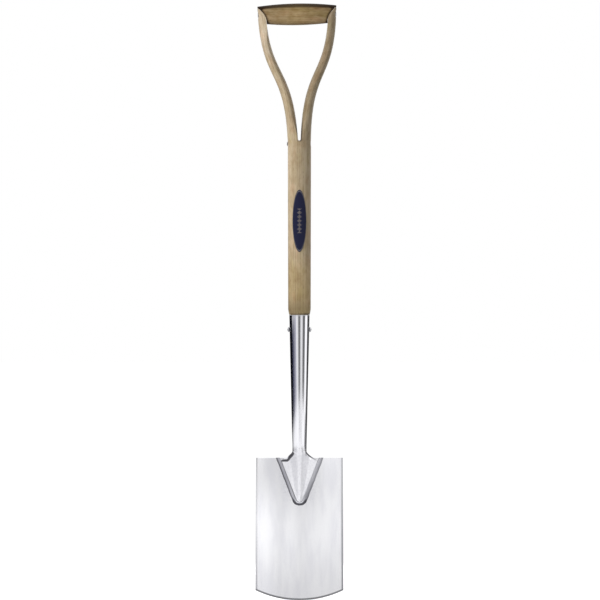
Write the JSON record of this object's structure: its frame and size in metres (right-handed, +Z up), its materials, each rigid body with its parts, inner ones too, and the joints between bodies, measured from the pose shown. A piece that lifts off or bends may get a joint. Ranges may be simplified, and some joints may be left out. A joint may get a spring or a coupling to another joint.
{
  "type": "border spade",
  "caption": "Border spade: dished steel blade, tapered socket with a V tail, ash shaft split into two bent arms with a turned cross grip.",
  "frame": {"origin": "on the ground plane at the lowest point of the cutting edge, under the middle of the spade's bounding box", "axes": "+Z up the shaft towards the grip, -Y the way that the blade's hollow front face looks, +X to the right of someone who looks at that face"},
  "size_m": [0.14, 0.0596, 0.9509],
  "materials": {
    "polished_stainless": "polished stainless steel, mirror bright on the socket, fine grain on the blade",
    "waxed_ash": "sanded and waxed ash, grain along the shaft",
    "oiled_grip": "turned and oiled ash, darker than the shaft",
    "bright_steel": "bright steel rivets, rod and washers",
    "navy_foil": "thin navy foil label with a pale edge line"
  },
  "bodies": {
    "root": {"blade": "polished_stainless", "socket": "polished_stainless", "tail_weld": "polished_stainless", "shaft": "waxed_ash", "cross_grip": "oiled_grip", "grip_rod": "bright_steel", "grip_burr_left": "bright_steel", "grip_burr_right": "bright_steel", "socket_rivet": "bright_steel", "fork_rivet": "bright_steel", "fork_rivet_burr": "bright_steel", "oval_label": "navy_foil"}
  },
  "joints": []
}
